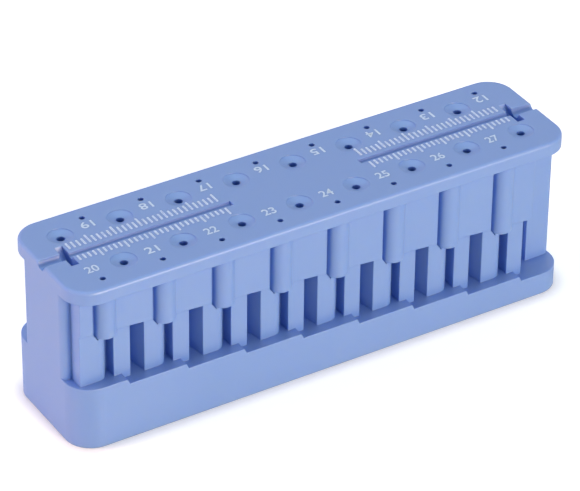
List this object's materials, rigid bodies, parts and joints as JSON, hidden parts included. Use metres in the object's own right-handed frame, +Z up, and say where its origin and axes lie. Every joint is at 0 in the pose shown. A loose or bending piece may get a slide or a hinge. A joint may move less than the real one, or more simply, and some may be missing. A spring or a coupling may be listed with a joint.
{
  "type": "endodontic measuring block",
  "caption": "Bench gauge block moulded in light blue plastic, with rows of file-length holes over stepped ledges and two printed millimetre rulers.",
  "frame": {"origin": "centre of the base on the surface it stands on", "axes": "+X along the block with numbers 20 to 27 rising, -Y is the front side that carries them, +Z up"},
  "size_m": [0.101, 0.0244, 0.0323],
  "materials": {
    "blue_plastic": "satin moulded plastic, light periwinkle blue",
    "white_ink": "thin white printing ink, only in the visual model"
  },
  "bodies": {
    "root": {"measuring_block": "blue_plastic"}
  },
  "joints": []
}
